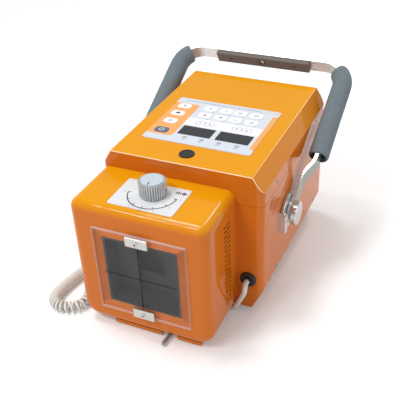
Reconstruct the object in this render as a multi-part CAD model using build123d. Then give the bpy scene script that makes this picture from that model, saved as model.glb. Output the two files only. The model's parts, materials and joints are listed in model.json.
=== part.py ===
from build123d import *
import math
import os

os.makedirs("parts", exist_ok=True)

# Hand-carried x-ray generator with a box collimator on its front, in millimetres.
# +X is the object's right seen from its front, +Y runs from the beam window to the rear, +Z is up.
# The origin is on the floor, under the middle of the overall footprint without the cord.

# Generator case
foot_height = 9.0
case_width = 200.0
case_length = 240.0
case_height = 185.0
case_front_y = -96.0
case_corner_radius = 8.0
case_wall = 2.5
case_edge_round = 1.2
top_bevel_in = 12.5
top_bevel_down = 20.0
bottom_bevel_in = 14.0
bottom_bevel_up = 29.0
seam_from_top = 37.0
seam_gap = 0.7
seam_depth = 0.9
groove_above_bevel = 3.0
groove_size = 0.5

# Screws that close the case, set in pockets in its sides
screw_diameter = 6.0
screw_proud = 0.1
screw_pocket_depth = 1.1
screw_pocket_clearance = 0.15
screw_below_top_bevel = 10.3
screw_above_bottom_bevel = 3.4
screw_from_front = 48.0
screw_from_rear = 36.0

# Tube and transformer block in the case, by its distance from the case's outside
tank_side_gap = 30.0
tank_front_gap = 12.0
tank_rear_gap = 90.0
tank_top_gap = 67.0

# Collimator on the front of the case, flush with the case's left side
collimator_width = 168.5
collimator_depth = 80.0
collimator_height = 166.0
collimator_drop = 2.0
collimator_edge_round = 12.0
collimator_bottom_round = 20.0
collimator_wall = 3.0

# Beam window, aperture and the clips that hold the window
window_width = 114.5
window_height = 114.0
window_thickness = 4.0
window_middle_x = -13.4
window_middle_z = 88.5
aperture_size = 92.0
clip_width = 27.0
clip_height = 12.5
clip_thickness = 2.5
clip_lap = 12.0
shutter_box_depth = 47.0
shutter_box_wall = 2.5
shutter_box_clearance = 0.1
blade_thickness = 3.0
blade_gap = 34.0
blade_from_front = 23.0

# Perforated vent on the collimator's right side
vent_columns = 2
vent_rows = 18
vent_pitch_y = 9.0
vent_pitch_z = 6.4
vent_slot_length = 7.8
vent_slot_width = 2.0
vent_middle_from_case = 28.2
vent_middle_z = 92.1

# Scale plate and knob on the collimator's top
dial_plate_width = 78.5
dial_plate_depth = 52.5
dial_plate_thickness = 0.8
dial_plate_middle_x = -15.0
dial_plate_middle_from_case = 43.5
knob_diameter = 31.0
knob_height = 18.0
knob_middle_x = -13.5
knob_middle_from_case = 38.0
knob_flutes = 36
knob_flute_radius = 0.8
knob_cap_diameter = 25.0
knob_cap_height = 1.2

# Foot plate and shutter lever under the collimator
tray_width = 112.0
tray_depth = 32.0
tray_thickness = 4.6
tray_middle_x = -4.0
tray_front_from_case = 75.0
lever_notch_middle_x = 12.0
lever_notch_width = 20.0
lever_notch_depth = 14.0
lever_middle_x = 12.0
lever_length = 20.3
lever_root_diameter = 4.4
lever_tip_diameter = 4.8
lever_swing = -3.5
lever_boss_diameter = 9.0

# Control panel on the case's top
panel_width = 137.0
panel_depth = 111.5
panel_thickness = 0.8
panel_front_from_case = 42.0
panel_corner_radius = 3.0
key_rise = 0.7
key_width = 17.0
key_depth = 12.5
key_corner_radius = 4.0
key_columns = (-18.5, 2.5, 21.5, 42.5)
key_rows_from_case_front = (133.6, 115.0)
side_key_x = -53.0
side_keys_from_case_front = (130.9, 110.1, 88.9)
power_key_from_case_front = 64.5
display_width = 41.5
display_depth = 21.0
display_rise = 0.4
display_left_x = -10.7
display_right_x = 37.3
display_from_case_front = 73.0
badge_diameter = 18.0
badge_height = 1.0
badge_from_case_front = 22.0

# Carrying handle: a flat bar bent to a U, pivoted on both sides of the case
pivot_from_case_front = 79.0
pivot_height = 95.0
handle_lean = 62.3
bar_width = 20.0
bar_thickness = 4.0
bar_swing_clearance = 31.85
bar_corner_radius = 31.0
bar_bend_radius = 38.0
bend_start = 50.0
bend_end = 71.0
grip_middle_out = 117.8
grip_diameter = 25.4
grip_bore = 20.6
grip_straight = 111.5
grip_round_corner = 50.0
grip_end_round = 2.0
pad_length = 134.0
pad_width = 17.5
pad_thickness = 6.2
pad_dimple_out = 46.0
pad_dimple_diameter = 5.0
pad_dimple_depth = 1.2
pad_bolt_diameter = 5.0
pad_bolt_clearance = 0.1
pad_bolt_head_diameter = 9.0
pad_bolt_head_height = 3.0
pad_recess_diameter = 10.0
pad_recess_depth = 2.6
boss_diameter = 46.0
boss_thickness = 4.6
arm_gap = 0.5
arm_end_diameter = 25.0
pivot_bolt_diameter = 8.0
pivot_bore_clearance = 0.1
pivot_head_diameter = 29.5
pivot_head_thickness = 7.5
stop_out = 10.0
stop_before_pivot = 28.5
stop_length = 7.5
stop_below_pivot = 12.5
stop_height = 23.5

# Feet and the bush for a stand under the case
foot_diameter = 18.0
foot_inset_x = 32.0
foot_inset_y = 22.0
foot_recess_diameter = 8.0
foot_recess_depth = 3.0
bush_diameter = 22.0
bush_depth = 14.0
bush_flange = 1.0
bush_bore = 8.5

# Rear panel
rear_panel_width = 96.0
rear_panel_height = 52.0
rear_panel_thickness = 2.0
rear_panel_middle_z = 74.0
inlet_width = 28.0
inlet_height = 20.0
inlet_depth = 12.0
inlet_wall = 1.2
inlet_clearance = 0.3
inlet_flange_width = 50.0
inlet_flange_height = 26.0
inlet_flange_thickness = 2.5
inlet_middle_x = -18.0
inlet_pin_width = 2.0
inlet_pin_height = 4.0
inlet_pin_length = 9.0
switch_bezel_width = 24.0
switch_bezel_height = 18.0
switch_bezel_thickness = 2.0
switch_width = 19.0
switch_height = 13.0
switch_rise = 5.0
switch_middle_x = 28.0

# Cable gland, hand switch and its cord
gland_x = 82.0
gland_z = 53.0
gland_diameter = 20.0
gland_flange = 3.0
gland_nose_diameter = 11.0
gland_nose = 2.0
lead_diameter = 6.4
curl_diameter = 15.0
sleeve_diameter = 9.0
sleeve_length = 16.0
hand_switch_gap = 0.4
hand_switch_length = 98.0
hand_switch_collar_length = 18.0
hand_switch_collar_diameter = 10.0
hand_switch_collar_end_diameter = 15.0
hand_switch_heel_length = 4.0
hand_switch_heel_diameter = 19.0
hand_switch_body_diameter = 26.0
hand_switch_rim_length = 12.0
hand_switch_taper_length = 6.0
hand_switch_end_diameter = 22.0
hand_button_diameter = 15.0
hand_button_height = 6.0

# Places worked out from the sizes above
case_top_z = foot_height + case_height
case_rear_y = case_front_y + case_length
half_width = case_width / 2
seam_z = case_top_z - seam_from_top
collimator_bottom_z = foot_height - collimator_drop
collimator_top_z = collimator_bottom_z + collimator_height
collimator_front_y = case_front_y - collimator_depth
collimator_left_x = -half_width
collimator_right_x = collimator_left_x + collimator_width
collimator_middle_x = (collimator_left_x + collimator_right_x) / 2
pivot_y = case_front_y + pivot_from_case_front
pivot_z = foot_height + pivot_height
arm_inner_x = half_width + boss_thickness + arm_gap
arm_middle_x = arm_inner_x + bar_thickness / 2
# The crossbar and its pad pass the case's furthest top corner with this clearance
bar_reach = math.hypot(case_rear_y - pivot_y, case_top_z - pivot_z) + bar_swing_clearance + pad_thickness + bar_thickness / 2
grip_corner = bar_reach - bar_corner_radius
grip_start = grip_corner - grip_straight
screw_levels = (foot_height + bottom_bevel_up + screw_above_bottom_bevel, case_top_z - top_bevel_down - screw_below_top_bevel)
screw_rows = (case_front_y + screw_from_front, case_rear_y - screw_from_rear)


def block(x, y, z):
    """A box between two corners given as (low, high) pairs."""
    size = (x[1] - x[0], y[1] - y[0], z[1] - z[0])
    middle = ((x[0] + x[1]) / 2, (y[0] + y[1]) / 2, (z[0] + z[1]) / 2)
    return Pos(*middle) * Box(*size)


def rod(diameter, start, end):
    """A round bar from one point to another."""
    line = Vector(*end) - Vector(*start)
    plane = Plane(origin=start, z_dir=line.normalized())
    return extrude(plane * Circle(diameter / 2), line.length)


def case_section(inset=0.0):
    """The case's outline seen from the front, pulled in by inset."""
    half = half_width
    low = foot_height
    outline = Polyline(
        (-half + bottom_bevel_in, low),
        (half - bottom_bevel_in, low),
        (half, low + bottom_bevel_up),
        (half, case_top_z - top_bevel_down),
        (half - top_bevel_in, case_top_z),
        (-half + top_bevel_in, case_top_z),
        (-half, case_top_z - top_bevel_down),
        (-half, low + bottom_bevel_up),
        close=True,
    )
    face = make_face(outline)
    if inset:
        face = offset(face, -inset, kind=Kind.INTERSECTION)
    return face


def case_solid(inset=0.0):
    """The whole case as one block: front outline crossed with a plan that has round corners."""
    length = case_length - 2 * inset
    outline = Plane(origin=(0, case_front_y + inset, 0), z_dir=(0, -1, 0), x_dir=(1, 0, 0))
    side_to_side = extrude(outline * case_section(inset), -length)
    plan = RectangleRounded(case_width - 2 * inset, length, case_corner_radius - inset / 2)
    middle_y = (case_front_y + case_rear_y) / 2
    upright = extrude(Pos(0, middle_y, foot_height - 1) * plan, case_height + 2)
    return side_to_side & upright


def screw_places():
    """Each side screw's side and middle."""
    return [(side, y, z) for side in (-1, 1) for z in screw_levels for y in screw_rows]


def case_shells():
    """Lower tub and upper lid, each with its own wall, meeting at the seam."""
    outer = case_solid()
    outer = fillet(outer.edges(), case_edge_round)
    hollow = outer - case_solid(case_wall)
    middle_y = (case_front_y + case_rear_y) / 2
    groove_low = seam_z - seam_gap / 2
    rim = RectangleRounded(case_width + 2, case_length + 2, case_corner_radius)
    rim -= RectangleRounded(case_width - 2 * seam_depth, case_length - 2 * seam_depth, case_corner_radius)
    groove = extrude(Pos(0, middle_y, groove_low) * rim, seam_gap)
    hollow -= groove
    for side, y, z in screw_places():
        pocket = Cylinder(screw_diameter / 2 + screw_pocket_clearance, 2 * screw_pocket_depth)
        hollow -= Pos(side * half_width, y, z) * Rot(0, 90, 0) * pocket
    reach = case_width + case_length
    tub = hollow & block((-reach, reach), (-reach, reach), (0, seam_z))
    line_z = foot_height + bottom_bevel_up + groove_above_bevel
    tub -= block((-reach, reach), (case_front_y - 1, case_front_y + groove_size), (line_z - groove_size / 2, line_z + groove_size / 2))
    tub -= Pos(0, pivot_y, foot_height) * Cylinder(bush_diameter / 2 - 3, 4 * case_wall)
    tub -= Pos(0, pivot_y, foot_height) * Cylinder(bush_diameter / 2, 2 * bush_flange)
    tub -= inlet_hole()
    lid = hollow & block((-reach, reach), (-reach, reach), (seam_z, case_top_z + 1))
    return tub, lid


def collimator_block(inset=0.0):
    """The collimator's outer form, or its inner form when inset is its wall."""
    shape = block(
        (collimator_left_x + inset, collimator_right_x - inset),
        (collimator_front_y + inset, case_front_y - inset),
        (collimator_bottom_z + inset, collimator_top_z - inset),
    )
    long_edges = shape.edges().filter_by(Axis.Y).sort_by(Axis.Z)
    front_edges = shape.faces().sort_by(Axis.Y)[0].edges()
    shape = fillet(long_edges[:2], collimator_bottom_round - inset)
    front_edges = shape.faces().sort_by(Axis.Y)[0].edges()
    top_edges = shape.edges().filter_by(Axis.Y).sort_by(Axis.Z)[-2:]
    return fillet(front_edges + top_edges, collimator_edge_round - inset)


def vent_slots():
    """Level slots through the collimator's right wall, in two upright columns."""
    slots = []
    face_x = collimator_right_x - collimator_wall / 2
    for column in range(vent_columns):
        across = (column - (vent_columns - 1) / 2) * vent_pitch_y
        for row in range(vent_rows):
            up = (row - (vent_rows - 1) / 2) * vent_pitch_z
            place = Pos(face_x, case_front_y - vent_middle_from_case + across, vent_middle_z + up)
            slots.append(place * Box(2 * collimator_wall, vent_slot_length, vent_slot_width))
    return slots


def collimator_housing():
    shell = collimator_block() - collimator_block(collimator_wall)
    half = aperture_size / 2
    shell -= block(
        (window_middle_x - half, window_middle_x + half),
        (collimator_front_y - 1, collimator_front_y + collimator_wall + 1),
        (window_middle_z - half, window_middle_z + half),
    )
    return shell.cut(*vent_slots())


def shutter_box():
    """Open-fronted box that lines the aperture and runs back from it."""
    half = aperture_size / 2 - shutter_box_clearance
    front = collimator_front_y + shutter_box_clearance
    outer = block(
        (window_middle_x - half, window_middle_x + half),
        (front, front + shutter_box_depth),
        (window_middle_z - half, window_middle_z + half),
    )
    inner_half = half - shutter_box_wall
    inner = block(
        (window_middle_x - inner_half, window_middle_x + inner_half),
        (front - 1, front + shutter_box_depth - shutter_box_wall),
        (window_middle_z - inner_half, window_middle_z + inner_half),
    )
    return outer - inner


def shutter_blades():
    """Two upright and two level blades that frame the beam."""
    half = aperture_size / 2 - shutter_box_clearance - shutter_box_wall
    front = collimator_front_y + blade_from_front
    blades = []
    for side in (-1, 1):
        near = side * blade_gap / 2
        far = side * half
        span = (window_middle_x + min(near, far), window_middle_x + max(near, far))
        blades.append(block(span, (front, front + blade_thickness), (window_middle_z - half, window_middle_z + half)))
    upright = Compound(blades)
    blades = []
    for side in (-1, 1):
        near = side * blade_gap / 2
        far = side * half
        span = (window_middle_z + min(near, far), window_middle_z + max(near, far))
        level = front + 2 * blade_thickness
        blades.append(block((window_middle_x - half, window_middle_x + half), (level, level + blade_thickness), span))
    return upright, Compound(blades)


def window_parts():
    """Clear plate on the collimator's face, and the two clips over its edges."""
    back = collimator_front_y
    front = back - window_thickness
    half_w = window_width / 2
    half_h = window_height / 2
    plate = block(
        (window_middle_x - half_w, window_middle_x + half_w),
        (front, back),
        (window_middle_z - half_h, window_middle_z + half_h),
    )
    plate = chamfer(plate.faces().sort_by(Axis.Y)[0].edges(), 0.8)
    clips = []
    for side in (1, -1):
        inner = window_middle_z + side * (half_h - clip_lap)
        outer = inner + side * clip_height
        clip = block(
            (window_middle_x - clip_width / 2, window_middle_x + clip_width / 2),
            (front - clip_thickness, front),
            (min(inner, outer), max(inner, outer)),
        )
        clips.append(chamfer(clip.faces().sort_by(Axis.Y)[0].edges(), 0.7))
    return plate, clips


def dial_plate():
    y = case_front_y - dial_plate_middle_from_case
    plate = RectangleRounded(dial_plate_width, dial_plate_depth, 2.0)
    return extrude(Pos(dial_plate_middle_x, y, collimator_top_z) * plate, dial_plate_thickness)


def knob_parts():
    """Fluted knob and the pale cap on it."""
    y = case_front_y - knob_middle_from_case
    base = collimator_top_z + dial_plate_thickness
    outline = Circle(knob_diameter / 2)
    for i in range(knob_flutes):
        angle = 2 * math.pi * i / knob_flutes
        place = Pos(knob_diameter / 2 * math.cos(angle), knob_diameter / 2 * math.sin(angle))
        outline -= place * Circle(knob_flute_radius)
    knob = extrude(Pos(knob_middle_x, y, base) * outline, knob_height)
    cap = Pos(knob_middle_x, y, base + knob_height + knob_cap_height / 2) * Cylinder(knob_cap_diameter / 2, knob_cap_height)
    return knob, cap


def tray_and_lever():
    """Plate under the collimator with a notch, and the shutter lever that comes out of it."""
    front = case_front_y - tray_front_from_case
    top = collimator_bottom_z
    tray = block(
        (tray_middle_x - tray_width / 2, tray_middle_x + tray_width / 2),
        (front, front + tray_depth),
        (top - tray_thickness, top),
    )
    tray -= block(
        (lever_notch_middle_x - lever_notch_width / 2, lever_notch_middle_x + lever_notch_width / 2),
        (front - 1, front + lever_notch_depth),
        (top - tray_thickness - 1, top + 1),
    )
    boss_y = front + lever_notch_depth - lever_boss_diameter / 2 - 1
    boss = Pos(lever_middle_x, boss_y, top - 2.2) * Cylinder(lever_boss_diameter / 2, 4.4)
    turn = math.radians(lever_swing)
    way = Vector(math.sin(turn), -math.cos(turn), 0)
    start = Vector(lever_middle_x, boss_y, top - 2.6) + way * (lever_boss_diameter / 2 + 0.05)
    plane = Plane(origin=start, z_dir=way)
    far = Plane(origin=start + way * lever_length, z_dir=way)
    lever = loft([plane * Circle(lever_root_diameter / 2), far * Circle(lever_tip_diameter / 2)])
    tip = lever.faces().sort_by(Axis.Y)[0]
    return tray, boss, fillet(tip.edges(), lever_tip_diameter / 2 - 0.5)


def panel_parts():
    """Control panel with two displays, its keys, and the round badge in front of it."""
    front = case_front_y + panel_front_from_case
    middle_y = front + panel_depth / 2
    panel = extrude(Pos(0, middle_y, case_top_z) * RectangleRounded(panel_width, panel_depth, panel_corner_radius), panel_thickness)
    top = case_top_z + panel_thickness
    displays = []
    for x in (display_left_x, display_right_x):
        face = Pos(x, case_front_y + display_from_case_front, top) * Rectangle(display_width, display_depth)
        displays.append(extrude(face, display_rise))
    places = [(side_key_x, y) for y in side_keys_from_case_front]
    places += [(x, y) for y in key_rows_from_case_front for x in key_columns]
    cap = RectangleRounded(key_width, key_depth, key_corner_radius)
    keys = [extrude(Pos(x, case_front_y + y, top) * cap, key_rise) for x, y in places]
    power = extrude(Pos(side_key_x, case_front_y + power_key_from_case_front, top) * cap, key_rise)
    badge_y = case_front_y + badge_from_case_front
    badge = Pos(0, badge_y, case_top_z + badge_height / 2) * Cylinder(badge_diameter / 2, badge_height)
    return panel, displays, Compound(keys), power, badge


def lean(shape):
    """Turns a handle piece from upright over its pivot to the angle it rests at."""
    return Pos(0, pivot_y, pivot_z) * Rot(-handle_lean, 0, 0) * shape


def foam_grip():
    """Foam tube on the right leg, straight and then part of the way round the bar's corner."""
    middle_x = grip_middle_out - bar_corner_radius
    low = (grip_middle_out, 0, grip_start)
    high = (grip_middle_out, 0, grip_corner)

    def on_corner(degrees):
        turn = math.radians(degrees)
        return (middle_x + bar_corner_radius * math.cos(turn), 0, grip_corner + bar_corner_radius * math.sin(turn))

    path = Line(low, high) + ThreePointArc(high, on_corner(grip_round_corner / 2), on_corner(grip_round_corner))
    ring = Plane(origin=low, z_dir=(0, 0, 1)) * Circle(grip_diameter / 2)
    tube = sweep(ring, path=path)
    ends = tube.edges().filter_by(GeomType.CIRCLE).filter_by(lambda e: abs(e.radius - grip_diameter / 2) < 0.01 and e.length > 3 * grip_diameter)
    ends = [e for e in ends if e.center().Z < grip_start + 1 or e.center().X < grip_middle_out - 5]
    tube = fillet(ends, grip_end_round)
    bore = Plane(origin=low, z_dir=(0, 0, 1)) * Circle(grip_bore / 2)
    return tube - sweep(bore, path=path)


def handle_parts():
    """The bar, its two foam grips, and the pad with its bolt, modelled upright and leaned back."""
    points = [
        (arm_middle_x, 0),
        (arm_middle_x, bend_start),
        (grip_middle_out, bend_end),
        (grip_middle_out, bar_reach),
        (-grip_middle_out, bar_reach),
        (-grip_middle_out, bend_end),
        (-arm_middle_x, bend_start),
        (-arm_middle_x, 0),
    ]
    small, big = bar_bend_radius, bar_corner_radius
    centre = FilletPolyline(*points, radius=[small, small, big, big, small, small])
    strip = trace(centre, bar_thickness)
    bar = extrude(Plane.XZ * strip, bar_width / 2, both=True)
    hole = pad_bolt_diameter / 2 + pad_bolt_clearance
    for side in (-1, 1):
        end = Pos(side * arm_middle_x, 0, 0) * Rot(0, 90, 0)
        bar += end * Cylinder(arm_end_diameter / 2, bar_thickness)
        bar -= end * Cylinder(pivot_bolt_diameter / 2 + pivot_bore_clearance, bar_thickness + 2)
    bar -= Pos(0, 0, bar_reach) * Cylinder(hole, bar_thickness + 2)
    grip = foam_grip()
    pad_top = bar_reach - bar_thickness / 2
    pad_bottom = pad_top - pad_thickness
    pad = Pos(0, 0, pad_top - pad_thickness / 2) * Box(pad_length, pad_width, pad_thickness)
    pad = fillet(pad.edges(), 1.0)
    pad -= Pos(0, 0, pad_top) * Cylinder(hole, 2 * pad_thickness + 2)
    pad -= Pos(0, 0, pad_bottom) * Cylinder(pad_recess_diameter / 2, 2 * pad_recess_depth)
    for side in (-1, 1):
        pad -= Pos(side * pad_dimple_out, 0, pad_bottom) * Cylinder(pad_dimple_diameter / 2, 2 * pad_dimple_depth)
    outer = bar_reach + bar_thickness / 2
    shank = outer - pad_bottom - pad_recess_depth / 2
    bolt = Pos(0, 0, outer - shank / 2) * Cylinder(pad_bolt_diameter / 2, shank)
    bolt += Pos(0, 0, outer + pad_bolt_head_height / 2) * Cylinder(pad_bolt_head_diameter / 2, pad_bolt_head_height)
    return lean(bar), lean(grip), lean(mirror(grip, about=Plane.YZ)), lean(pad), lean(bolt)


def pivot_side(side):
    """Boss on the case's side, the stop block beside it, and the bolt that the handle's arm turns on."""
    across = Rot(0, 90, 0)
    stop_y = pivot_y - stop_before_pivot
    stop_z = pivot_z - stop_below_pivot
    ends = sorted((side * half_width, side * (half_width + stop_out)))
    stop = block(ends, (stop_y, stop_y + stop_length), (stop_z, stop_z + stop_height))
    outer_face = stop.faces().sort_by(Axis.X)[-1 if side > 0 else 0]
    stop = chamfer(outer_face.edges(), 0.6)
    boss_x = side * (half_width + boss_thickness / 2)
    boss = Pos(boss_x, pivot_y, pivot_z) * across * Cylinder(boss_diameter / 2, boss_thickness)
    boss = chamfer(boss.edges(), 0.8)
    room = sorted((side * (half_width - 1), side * (half_width + stop_out)))
    boss -= block(room, (pivot_y - boss_diameter, stop_y + stop_length + arm_gap / 2), (pivot_z - boss_diameter, pivot_z + boss_diameter))
    outer_x = half_width + boss_thickness
    shank_length = 2 * arm_gap + bar_thickness
    shank_x = side * (outer_x + shank_length / 2)
    bolt = Pos(shank_x, pivot_y, pivot_z) * across * Cylinder(pivot_bolt_diameter / 2, shank_length)
    head_x = side * (outer_x + shank_length + pivot_head_thickness / 2)
    head = Pos(head_x, pivot_y, pivot_z) * across * Cylinder(pivot_head_diameter / 2, pivot_head_thickness)
    bolt += chamfer(head.edges(), 0.8)
    return boss, stop, bolt


def feet():
    shapes = []
    for x in (-half_width + foot_inset_x, half_width - foot_inset_x):
        for y in (case_front_y + foot_inset_y, case_rear_y - foot_inset_y):
            foot = Cone(foot_diameter / 2 - 1.5, foot_diameter / 2, foot_height)
            foot -= Pos(0, 0, -foot_height / 2) * Cylinder(foot_recess_diameter / 2, 2 * foot_recess_depth)
            shapes.append(Pos(x, y, foot_height / 2) * foot)
    return Compound(shapes)


def stand_bush():
    flange = Pos(0, pivot_y, foot_height + bush_flange / 2) * Cylinder(bush_diameter / 2, bush_flange)
    flange -= Pos(0, pivot_y, foot_height + bush_flange / 2) * Cylinder(bush_bore / 2, bush_flange + 2)
    barrel_top = foot_height + bush_depth
    barrel = Pos(0, pivot_y, (foot_height + barrel_top) / 2) * Cylinder(bush_diameter / 2 - 3, bush_depth)
    bore_top = barrel_top - 2
    barrel -= Pos(0, pivot_y, (foot_height + bore_top) / 2) * Cylinder(bush_bore / 2, bore_top - foot_height)
    return flange + barrel


def inlet_hole():
    """Room for the mains inlet's body in the rear panel and the case's wall."""
    half_w = inlet_width / 2 + inlet_wall + inlet_clearance
    half_h = inlet_height / 2 + inlet_wall + inlet_clearance
    return block(
        (inlet_middle_x - half_w, inlet_middle_x + half_w),
        (case_rear_y - 2 * case_wall, case_rear_y + rear_panel_thickness + 1),
        (rear_panel_middle_z - half_h, rear_panel_middle_z + half_h),
    )


def rear_parts():
    """Panel on the case's rear with the recessed mains inlet and the rocker switch."""
    y = case_rear_y
    half_w = rear_panel_width / 2
    half_h = rear_panel_height / 2
    panel = block((-half_w, half_w), (y, y + rear_panel_thickness), (rear_panel_middle_z - half_h, rear_panel_middle_z + half_h))
    panel -= inlet_hole()
    face_y = y + rear_panel_thickness
    mouth_y = face_y + inlet_flange_thickness
    inlet = block(
        (inlet_middle_x - inlet_flange_width / 2, inlet_middle_x + inlet_flange_width / 2),
        (face_y, mouth_y),
        (rear_panel_middle_z - inlet_flange_height / 2, rear_panel_middle_z + inlet_flange_height / 2),
    )
    body_w = inlet_width / 2 + inlet_wall
    body_h = inlet_height / 2 + inlet_wall
    floor_y = mouth_y - inlet_depth
    inlet += block(
        (inlet_middle_x - body_w, inlet_middle_x + body_w),
        (floor_y - inlet_wall, mouth_y),
        (rear_panel_middle_z - body_h, rear_panel_middle_z + body_h),
    )
    inlet -= block(
        (inlet_middle_x - inlet_width / 2, inlet_middle_x + inlet_width / 2),
        (floor_y, mouth_y + 1),
        (rear_panel_middle_z - inlet_height / 2, rear_panel_middle_z + inlet_height / 2),
    )
    for x, z in ((-7.0, -2.0), (0.0, 2.0), (7.0, -2.0)):
        inlet += block(
            (inlet_middle_x + x - inlet_pin_width / 2, inlet_middle_x + x + inlet_pin_width / 2),
            (floor_y - inlet_wall / 2, floor_y + inlet_pin_length),
            (rear_panel_middle_z + z - inlet_pin_height / 2, rear_panel_middle_z + z + inlet_pin_height / 2),
        )
    switch = block(
        (switch_middle_x - switch_bezel_width / 2, switch_middle_x + switch_bezel_width / 2),
        (face_y, face_y + switch_bezel_thickness),
        (rear_panel_middle_z - switch_bezel_height / 2, rear_panel_middle_z + switch_bezel_height / 2),
    )
    switch = chamfer(switch.faces().sort_by(Axis.Y)[-1].edges(), 0.6)
    switch += block(
        (switch_middle_x - switch_width / 2, switch_middle_x + switch_width / 2),
        (face_y, face_y + switch_rise),
        (rear_panel_middle_z - switch_height / 2, rear_panel_middle_z + switch_height / 2),
    )
    return panel, inlet, switch


def side_screws():
    """Screws that close the lid and the tub on both sides, each in its pocket."""
    heads = []
    length = screw_pocket_depth + screw_proud
    for side, y, z in screw_places():
        middle_x = side * (half_width + screw_proud - length / 2)
        heads.append(Pos(middle_x, y, z) * Rot(0, 90, 0) * Cylinder(screw_diameter / 2, length))
    return Compound(heads)


def generator_block():
    """The sealed tube head and its transformer, the heavy mass inside the case."""
    floor = foot_height + case_wall
    half = half_width - tank_side_gap
    tank = block((-half, half), (case_front_y + tank_front_gap, case_rear_y - tank_rear_gap), (floor, case_top_z - tank_top_gap))
    return tank - Pos(0, pivot_y, floor) * Cylinder(bush_diameter / 2, 2 * (bush_depth + 2))


# The cord's route along what the object stands on: x, distance behind the case's front, z
lead_points = [
    (gland_x, -gland_flange - gland_nose, gland_z),
    (gland_x, -9.0, gland_z),
    (82.2, -12.0, 50.2),
    (82.3, -12.6, 45.4),
    (80.6, -11.8, 39.4),
    (77.3, -10.6, 32.0),
    (73.9, -9.2, 24.5),
    (69.5, -7.6, 15.0),
    (64.0, -5.6, 6.4),
    (56.0, -2.5, lead_diameter / 2),
    (44.0, 1.2, lead_diameter / 2),
    (20.0, 5.0, lead_diameter / 2),
    (-18.0, 7.0, lead_diameter / 2),
    (-62.0, 6.0, lead_diameter / 2),
    (-92.0, 13.5, lead_diameter / 2),
    (-108.5, 14.5, lead_diameter / 2),
    (-118.5, 7.0, lead_diameter / 2),
    (-122.2, -3.0, lead_diameter / 2),
    (-120.4, -15.0, lead_diameter / 2),
]
curl_points = [
    (-118.0, -31.0),
    (-116.5, -41.0),
    (-112.6, -51.0),
    (-109.8, -61.5),
    (-114.5, -73.5),
    (-127.0, -81.4),
    (-142.0, -81.0),
    (-151.8, -71.0),
    (-152.2, -56.5),
    (-149.6, -37.0),
    (-145.0, -15.0),
    (-135.0, 14.0),
    (-123.0, 46.0),
    (-118.0, 72.0),
    (-118.0, 96.0),
]
lead_route = [(x, case_front_y + along, z) for x, along, z in lead_points]
curl_route = [(x, case_front_y + along, curl_diameter / 2) for x, along in curl_points]


def route_radii(points, share=0.45):
    """As large an arc at each corner as its two runs allow."""
    radii = []
    for before, here, after in zip(points, points[1:], points[2:]):
        first = Vector(*here) - Vector(*before)
        second = Vector(*after) - Vector(*here)
        turn = math.radians(first.get_angle(second))
        radii.append(share * min(first.length, second.length) / math.tan(turn / 2))
    return radii


def route_tube(points, diameter, name):
    radii = route_radii(points)
    path = FilletPolyline(*points, radius=radii)
    start = Plane(origin=path @ 0, z_dir=path % 0)
    tube = sweep(start * Circle(diameter / 2), path=path, transition=Transition.RIGHT)
    expected = math.pi * diameter ** 2 / 4 * path.length
    print(name, "length", round(path.length, 1), "smallest radius", round(min(radii), 1))
    print(name, "volume over section times length", round(tube.volume / expected, 4))
    return tube


def cord_parts():
    """Gland on the case's front, the lead, the sleeve where it turns curly, the curl and the hand switch."""
    flange = Pos(gland_x, case_front_y - gland_flange / 2, gland_z) * Rot(90, 0, 0) * Cylinder(gland_diameter / 2, gland_flange)
    flange = fillet(flange.faces().sort_by(Axis.Y)[0].edges(), 2.5)
    nose = Pos(gland_x, case_front_y - gland_flange - gland_nose / 2, gland_z) * Rot(90, 0, 0) * Cylinder(gland_nose_diameter / 2, gland_nose)
    gland = flange + nose
    lead = route_tube(lead_route, lead_diameter, "lead")
    curl = route_tube(curl_route, curl_diameter, "curl")
    sleeve_z = sleeve_diameter / 2
    sleeve = rod(sleeve_diameter, (*lead_route[-1][:2], sleeve_z), (*curl_route[0][:2], sleeve_z))
    return gland, lead, sleeve, curl


def hand_switch_parts():
    """Tapered hand switch lying on the floor, with its push button."""
    heel_at = hand_switch_collar_length + hand_switch_heel_length
    rim_at = hand_switch_length - hand_switch_taper_length - hand_switch_rim_length
    heel = (hand_switch_heel_diameter / 2, heel_at)
    rim = (hand_switch_body_diameter / 2, rim_at)
    half_profile = (
        # radius, distance from the cord's end
        (0.0, 0.0),
        (hand_switch_collar_diameter / 2, 0.0),
        (hand_switch_collar_end_diameter / 2, hand_switch_collar_length),
        heel,
        rim,
        (hand_switch_body_diameter / 2, hand_switch_length - hand_switch_taper_length),
        (hand_switch_end_diameter / 2, hand_switch_length),
        (0.0, hand_switch_length),
    )
    tilt = math.atan((rim[0] - heel[0]) / (rim[1] - heel[1]))
    start_z = heel[0] * math.cos(tilt) - heel[1] * math.sin(tilt)
    face = make_face(Polyline(*half_profile, close=True))
    grip = revolve(face, Axis.Y)
    button = Pos(0, hand_switch_length + hand_button_height / 2, 0) * Rot(90, 0, 0)
    button = button * Cylinder(hand_button_diameter / 2, hand_button_height)
    place = Pos(curl_route[-1][0], curl_route[-1][1] + hand_switch_gap, start_z) * Rot(math.degrees(tilt), 0, 0)
    return place * grip, place * button


tub, lid = case_shells()
plate, clips = window_parts()
upright_blades, level_blades = shutter_blades()
knob, knob_cap = knob_parts()
tray, lever_boss, lever = tray_and_lever()
panel, displays, keys, power_key, badge = panel_parts()
bar, grip_right, grip_left, pad, pad_bolt = handle_parts()
boss_right, stop_right, bolt_right = pivot_side(1)
boss_left, stop_left, bolt_left = pivot_side(-1)
rear_panel, inlet, rear_switch = rear_parts()
gland, lead, sleeve, curl = cord_parts()
hand_switch, hand_button = hand_switch_parts()

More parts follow.
